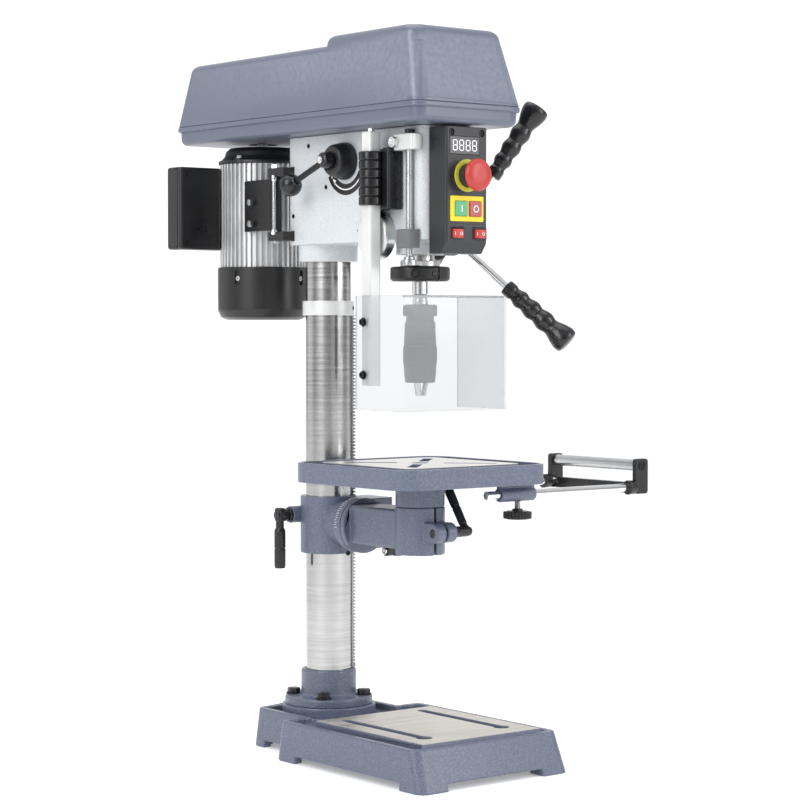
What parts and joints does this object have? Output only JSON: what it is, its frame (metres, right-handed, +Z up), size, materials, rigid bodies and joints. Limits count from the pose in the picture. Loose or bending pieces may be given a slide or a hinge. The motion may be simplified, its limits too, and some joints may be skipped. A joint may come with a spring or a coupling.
{
  "type": "drill press",
  "caption": "Bench drill press with belt-driven spindle, keyless chuck, tilting rack-lift table with roller extension, three-spoke feed and clear chuck guard.",
  "frame": {"origin": "on the bench, on the axis of the column", "axes": "+X to the operator's right, +Y away from the operator, +Z up along the column"},
  "size_m": [0.437, 0.5954, 0.923],
  "materials": {
    "cast_paint": "hammered semi-gloss enamel",
    "head_paint": "smooth satin enamel",
    "cover_paint": "fine textured satin enamel",
    "column_steel": "ground and polished",
    "bright_steel": "polished",
    "dark_steel": "dark phosphated",
    "alloy": "satin anodised",
    "black_plastic": "fine grained",
    "yellow_plastic": "smooth",
    "red_plastic": "smooth",
    "green_plastic": "smooth",
    "clear_plastic": "clear polycarbonate",
    "display_glass": "tinted lens",
    "belt_rubber": "moulded V belt",
    "black_paint": "semi-gloss black enamel"
  },
  "bodies": {
    "root": {"base": "cast_paint", "column_flange": "cast_paint", "flange_bolts": "bright_steel", "column": "column_steel", "rack_ring": "cast_paint", "head_casting": "head_paint", "motor_hinge_pin": "dark_steel", "pulley_tray": "cover_paint", "control_box": "black_plastic", "display_window": "display_glass", "switch_plates": "yellow_plastic", "return_spring_cap": "alloy", "return_spring": "dark_steel", "guard_switch_box": "black_plastic", "drive_belt": "belt_rubber"},
    "table_carrier": {"rack": "column_steel"},
    "table_slide": {"table_bracket": "cast_paint"},
    "column_lock": {"column_lock_lever": "black_plastic"},
    "lift_gear": {"lift_pinion": "dark_steel"},
    "crank": {"table_crank": "black_plastic"},
    "crank_handle": {"crank_grip": "black_plastic"},
    "tilting_arm": {"table_arm": "cast_paint"},
    "table_clamp": {"table_clamp_lever": "black_plastic"},
    "table_top": {"table": "cast_paint"},
    "extension": {"extension_rods": "bright_steel", "extension_frame": "black_plastic"},
    "roller_body": {"roller": "bright_steel"},
    "extension_lock": {"extension_lock_screw": "black_plastic"},
    "quill_body": {"quill": "column_steel", "spindle_bearings": "dark_steel", "depth_collar": "black_paint", "depth_rod": "bright_steel"},
    "stop_block": {"depth_stop": "alloy"},
    "stop_screw": {"depth_stop_screw": "bright_steel"},
    "spindle_body": {"spindle": "dark_steel", "chuck_body": "dark_steel"},
    "chuck_shell": {"chuck_sleeve": "dark_steel"},
    "jaw_1": {"chuck_jaw_1": "bright_steel"},
    "jaw_2": {"chuck_jaw_2": "bright_steel"},
    "jaw_3": {"chuck_jaw_3": "bright_steel"},
    "feed_handles": {"feed_hub": "black_plastic", "feed_spokes": "bright_steel", "feed_grips": "black_plastic"},
    "driven_pulley": {"spindle_pulley": "dark_steel"},
    "motor": {"motor_body": "alloy", "fan_cover": "black_plastic", "capacitor_box": "black_plastic", "motor_plate": "black_paint"},
    "rotor": {"motor_rotor": "dark_steel", "motor_pulley": "dark_steel"},
    "speed_selector": {"speed_lever": "black_plastic"},
    "lid": {"cover_lid": "cover_paint"},
    "emergency_stop": {"estop_button": "red_plastic"},
    "start_switch": {"start_button": "green_plastic"},
    "stop_switch": {"stop_button": "red_plastic"},
    "light_switch": {"light_rocker": "red_plastic"},
    "power_switch": {"power_rocker": "red_plastic"},
    "guard": {"guard_post": "alloy", "guard_sleeve": "black_plastic", "guard_shield": "clear_plastic"}
  },
  "joints": [
    {"name": "table_swing", "type": "hinge", "parent": "root", "child": "table_carrier", "pos_m": [0, 0, 0], "axis": [0, 0, 1], "range_deg": [-170, 170]},
    {"name": "table_lift", "type": "slide", "parent": "table_carrier", "child": "table_slide", "axis": [0, 0, 1], "range_m": [-0.12, 0.065]},
    {"name": "column_lock_turn", "type": "hinge", "parent": "table_slide", "child": "column_lock", "pos_m": [-0.06, 0.024, 0.307], "axis": [1, 0, 0], "range_deg": [-30, 60]},
    {"name": "lift_pinion_turn", "type": "hinge", "parent": "table_slide", "child": "lift_gear", "pos_m": [0.03681, -0.02125, 0.286], "axis": [0.5, 0.866, 0], "range_deg": [-445, 820]},
    {"name": "crank_turn", "type": "hinge", "parent": "table_slide", "child": "crank", "pos_m": [0.07, -0.048, 0.303], "axis": [1, 0, 0], "range_deg": [-3280, 1780]},
    {"name": "crank_grip_spin", "type": "hinge", "parent": "crank", "child": "crank_handle", "pos_m": [0.1, -0.04, 0.257], "axis": [1, 0, 0], "continuous": true},
    {"name": "table_tilt", "type": "hinge", "parent": "table_slide", "child": "tilting_arm", "pos_m": [0, -0.08, 0.297], "axis": [0, 1, 0], "range_deg": [-36, 45]},
    {"name": "table_clamp_turn", "type": "hinge", "parent": "tilting_arm", "child": "table_clamp", "pos_m": [0.0395, -0.237, 0.2985], "axis": [1, 0, 0], "range_deg": [-40, 18]},
    {"name": "table_spin", "type": "hinge", "parent": "tilting_arm", "child": "table_top", "pos_m": [0, -0.1935, 0.35], "axis": [0, 0, -1], "range_deg": [-30, 180]},
    {"name": "extension_slide", "type": "slide", "parent": "table_top", "child": "extension", "axis": [1, 0, 0], "range_m": [-0.15, 0.02]},
    {"name": "roller_spin", "type": "hinge", "parent": "extension", "child": "roller_body", "pos_m": [0.304, -0.1935, 0.373], "axis": [0, 1, 0], "continuous": true},
    {"name": "extension_lock_turn", "type": "hinge", "parent": "table_top", "child": "extension_lock", "pos_m": [0.092, -0.2745, 0.318], "axis": [0, 0, 1], "range_deg": [-180, 180]},
    {"name": "quill_feed", "type": "slide", "parent": "root", "child": "quill_body", "axis": [0, 0, 1], "range_m": [-0.06, 0], "stiffness_N_per_m": 120, "springref_m": 0.5},
    {"name": "depth_stop_slide", "type": "slide", "parent": "quill_body", "child": "stop_block", "axis": [0, 0, -1], "range_m": [0, 0.09]},
    {"name": "depth_stop_screw_turn", "type": "hinge", "parent": "stop_block", "child": "stop_screw", "pos_m": [-0.065, -0.22, 0.782], "axis": [1, 0, 0], "range_deg": [-180, 180]},
    {"name": "spindle_spin", "type": "hinge", "parent": "quill_body", "child": "spindle_body", "pos_m": [0, -0.1935, 0.6], "axis": [0, 0, 1], "continuous": true},
    {"name": "chuck_sleeve_turn", "type": "hinge", "parent": "spindle_body", "child": "chuck_shell", "pos_m": [0, -0.1935, 0.52], "axis": [0, 0, 1], "range_deg": [0, 200]},
    {"name": "chuck_jaw_1_slide", "type": "slide", "parent": "spindle_body", "child": "jaw_1", "axis": [0, 0.2079, 0.9781], "range_m": [0, 0.0101]},
    {"name": "chuck_jaw_2_slide", "type": "slide", "parent": "spindle_body", "child": "jaw_2", "axis": [-0.1801, -0.104, 0.9781], "range_m": [0, 0.0101]},
    {"name": "chuck_jaw_3_slide", "type": "slide", "parent": "spindle_body", "child": "jaw_3", "axis": [0.1801, -0.104, 0.9781], "range_m": [0, 0.0101]},
    {"name": "feed_turn", "type": "hinge", "parent": "root", "child": "feed_handles", "pos_m": [0, -0.16737, 0.669], "axis": [1, 0, 0], "range_deg": [-2, 370]},
    {"name": "driven_pulley_spin", "type": "hinge", "parent": "root", "child": "driven_pulley", "pos_m": [0, -0.1935, 0.831], "axis": [0, 0, 1], "continuous": true},
    {"name": "motor_swing", "type": "hinge", "parent": "root", "child": "motor", "pos_m": [-0.052, 0.046, 0.71], "axis": [0, 0, 1], "range_deg": [0, 3], "deforming": ["drive_belt"]},
    {"name": "rotor_spin", "type": "hinge", "parent": "motor", "child": "rotor", "pos_m": [0, 0.15, 0.7], "axis": [0, 0, 1], "continuous": true},
    {"name": "speed_lever_turn", "type": "hinge", "parent": "root", "child": "speed_selector", "pos_m": [-0.07, -0.096, 0.766], "axis": [-1, 0, 0], "range_deg": [0, 100]},
    {"name": "lid_open", "type": "hinge", "parent": "root", "child": "lid", "pos_m": [0, 0.247, 0.83], "axis": [-1, 0, 0], "range_deg": [0, 75]},
    {"name": "emergency_stop_press", "type": "slide", "parent": "root", "child": "emergency_stop", "axis": [0, 1, 0], "range_m": [0, 0.004], "stiffness_N_per_m": 1500},
    {"name": "start_press", "type": "slide", "parent": "root", "child": "start_switch", "axis": [0, 1, 0], "range_m": [0, 0.002], "stiffness_N_per_m": 1000},
    {"name": "stop_press", "type": "slide", "parent": "root", "child": "stop_switch", "axis": [0, 1, 0], "range_m": [0, 0.002], "stiffness_N_per_m": 1000},
    {"name": "light_rocker_tilt", "type": "hinge", "parent": "root", "child": "light_switch", "pos_m": [-0.0156, -0.2815, 0.6692], "axis": [0, 0, 1], "range_deg": [-8, 8]},
    {"name": "power_rocker_tilt", "type": "hinge", "parent": "root", "child": "power_switch", "pos_m": [0.0195, -0.2815, 0.6692], "axis": [0, 0, 1], "range_deg": [-8, 8]},
    {"name": "guard_swing", "type": "hinge", "parent": "root", "child": "guard", "pos_m": [-0.071, -0.185, 0.6], "axis": [0, 0, 1], "range_deg": [-110, 0]}
  ],
  "couplings": [
    {"joint": "lift_pinion_turn", "follows": "table_lift", "rad_per_m": -119.05},
    {"joint": "crank_turn", "follows": "table_lift", "rad_per_m": 476.19},
    {"joint": "feed_turn", "follows": "quill_feed", "rad_per_m": -106.67},
    {"joint": "driven_pulley_spin", "follows": "rotor_spin", "ratio": 0.57806},
    {"joint": "spindle_spin", "follows": "rotor_spin", "ratio": 0.57806},
    {"joint": "chuck_jaw_1_slide", "follows": "chuck_sleeve_turn", "m_per_rad": 0.0028648},
    {"joint": "chuck_jaw_2_slide", "follows": "chuck_sleeve_turn", "m_per_rad": 0.0028648},
    {"joint": "chuck_jaw_3_slide", "follows": "chuck_sleeve_turn", "m_per_rad": 0.0028648}
  ]
}
